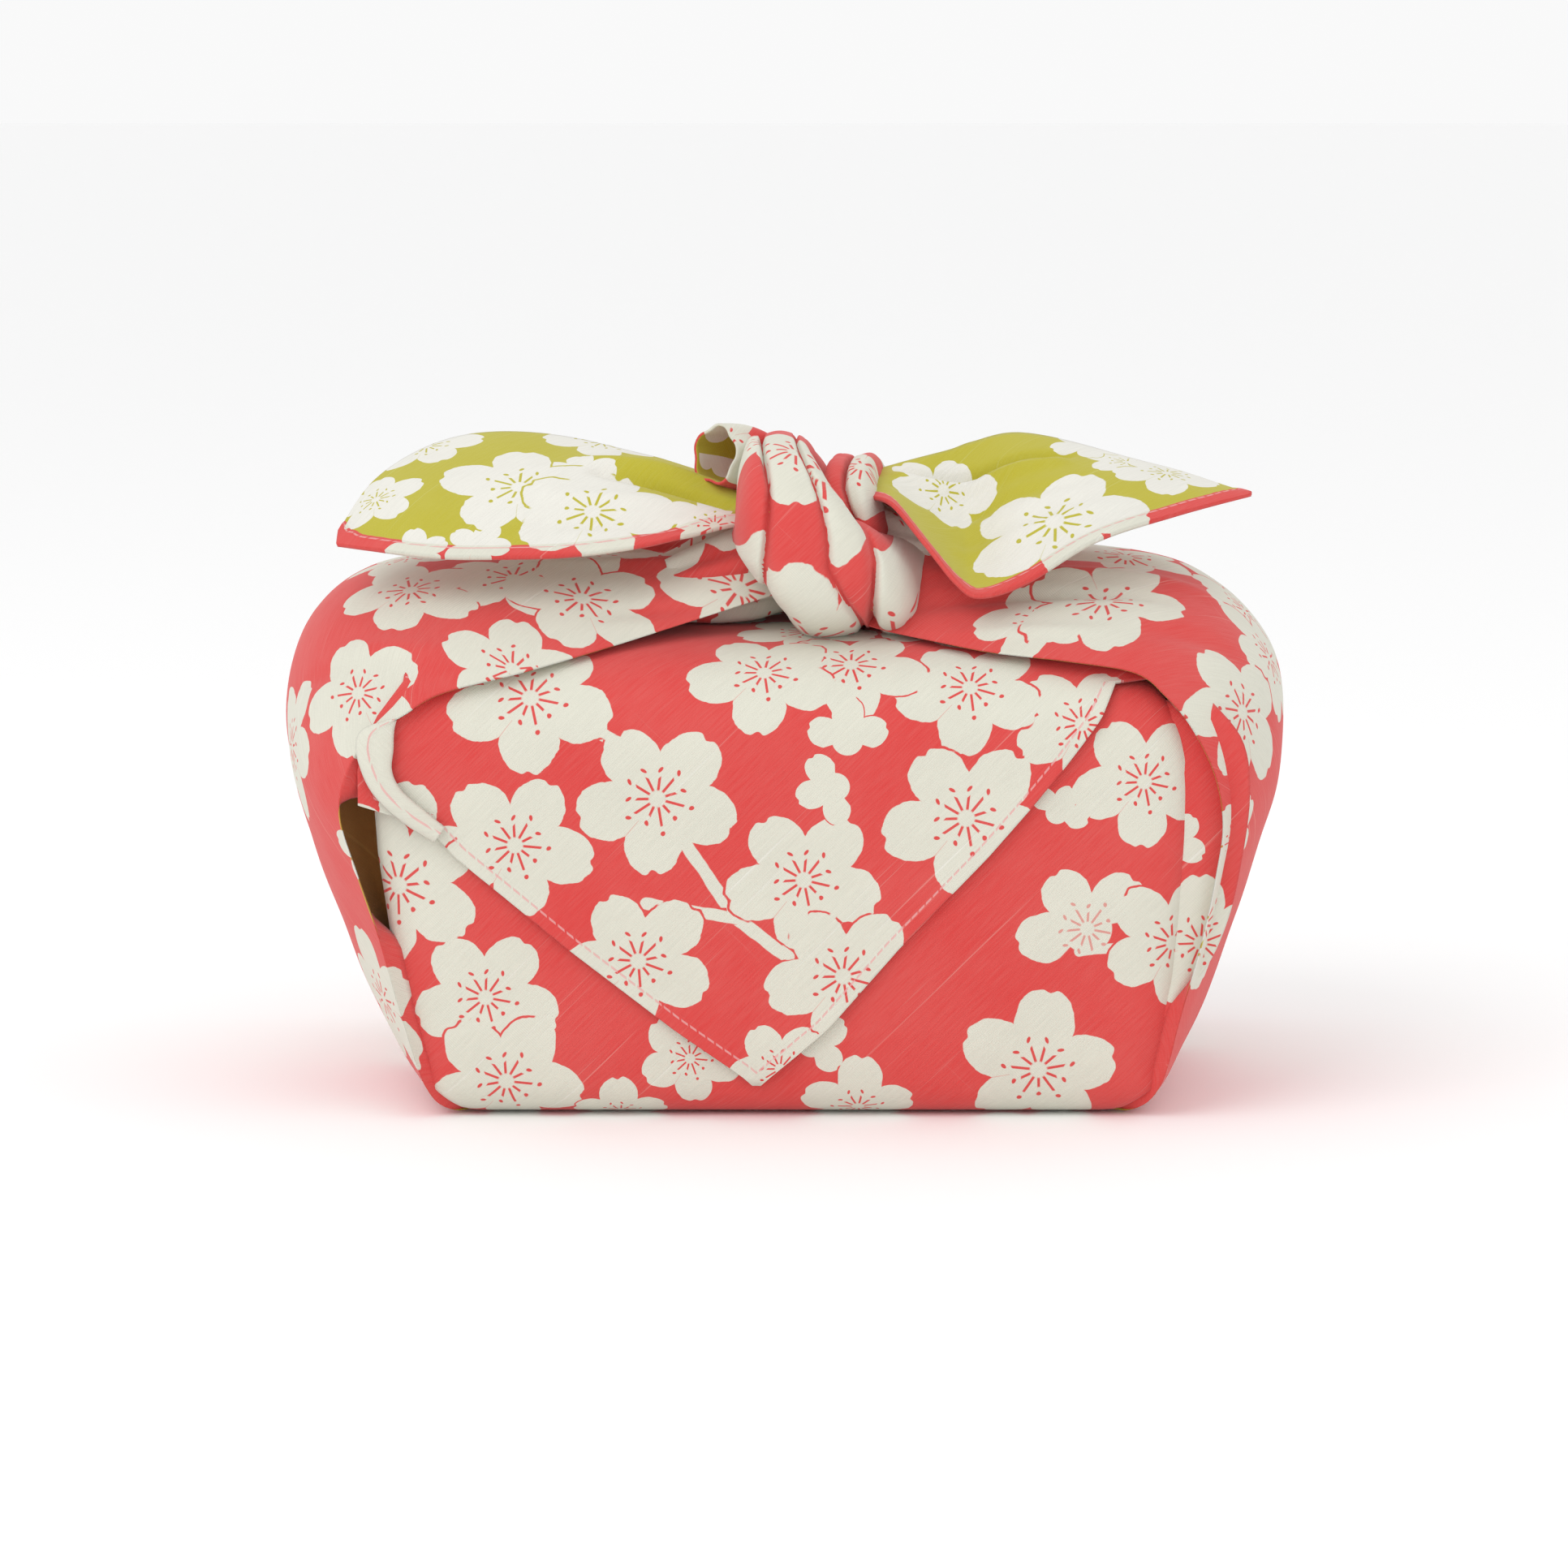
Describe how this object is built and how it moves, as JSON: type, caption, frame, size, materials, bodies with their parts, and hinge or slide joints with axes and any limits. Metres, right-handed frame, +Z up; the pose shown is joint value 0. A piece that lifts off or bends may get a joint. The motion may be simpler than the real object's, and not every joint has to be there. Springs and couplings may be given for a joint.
{
  "type": "furoshiki wrap",
  "caption": "Square printed cotton cloth wrapped round a box and tied on top in a square knot, with a front flap and two spread tails.",
  "frame": {"origin": "middle of the flat bottom that the wrap rests on", "axes": "+Z up, -Y the front with the flap's hanging corner, +X to the right tail"},
  "size_m": [0.2643, 0.1556, 0.1752],
  "materials": {
    "printed_cotton": "matte slub cotton, coral red with cream blossoms outside and lime green with white blossoms inside"
  },
  "bodies": {
    "root": {"wrap": "printed_cotton"}
  },
  "joints": []
}
